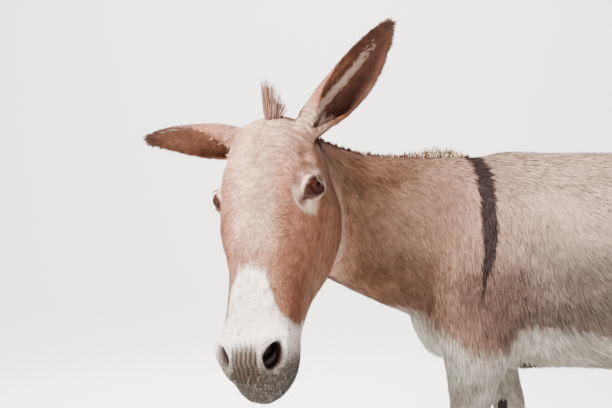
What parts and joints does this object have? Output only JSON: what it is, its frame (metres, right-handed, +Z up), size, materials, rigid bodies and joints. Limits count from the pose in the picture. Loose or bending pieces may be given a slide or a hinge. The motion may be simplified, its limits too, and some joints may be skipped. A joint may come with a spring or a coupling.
{
  "type": "donkey",
  "caption": "Life-size standing donkey in a short dun coat, head turned to its left, long ears out, resting on its hooves.",
  "frame": {"origin": "middle of the bottom of the bounding box, on the floor between the four hooves", "axes": "+Z up, -X the way the body faces, -Y its left side, the side the head is turned to"},
  "size_m": [1.8112, 0.7338, 1.3958],
  "materials": {
    "coat": "short matt hair, dun brown with a pale belly and muzzle",
    "pale_coat": "short matt hair, greyish white",
    "ear": "short rufous hair with dark brown rims and pale hair inside",
    "long_hair": "coarse upright hair, dark brown mixed with straw",
    "lip": "soft grey-black skin with fine hairs",
    "eye": "wet and glossy, dark brown",
    "hoof": "dull horn with growth rings"
  },
  "bodies": {
    "root": {"ear_left": "ear", "ear_right": "ear", "eye_left": "eye", "eye_right": "eye", "foreleg_left_hoof": "hoof", "foreleg_left_lower": "pale_coat", "foreleg_left_upper": "pale_coat", "foreleg_right_hoof": "hoof", "foreleg_right_lower": "pale_coat", "foreleg_right_upper": "pale_coat", "forelock": "long_hair", "head": "coat", "hindleg_left_hoof": "hoof", "hindleg_left_lower": "pale_coat", "hindleg_left_upper": "pale_coat", "hindleg_right_hoof": "hoof", "hindleg_right_lower": "pale_coat", "hindleg_right_upper": "pale_coat", "lower_lip": "lip", "mane": "long_hair", "neck": "coat", "tail_dock": "coat", "tail_switch": "long_hair", "trunk": "coat"}
  },
  "joints": []
}
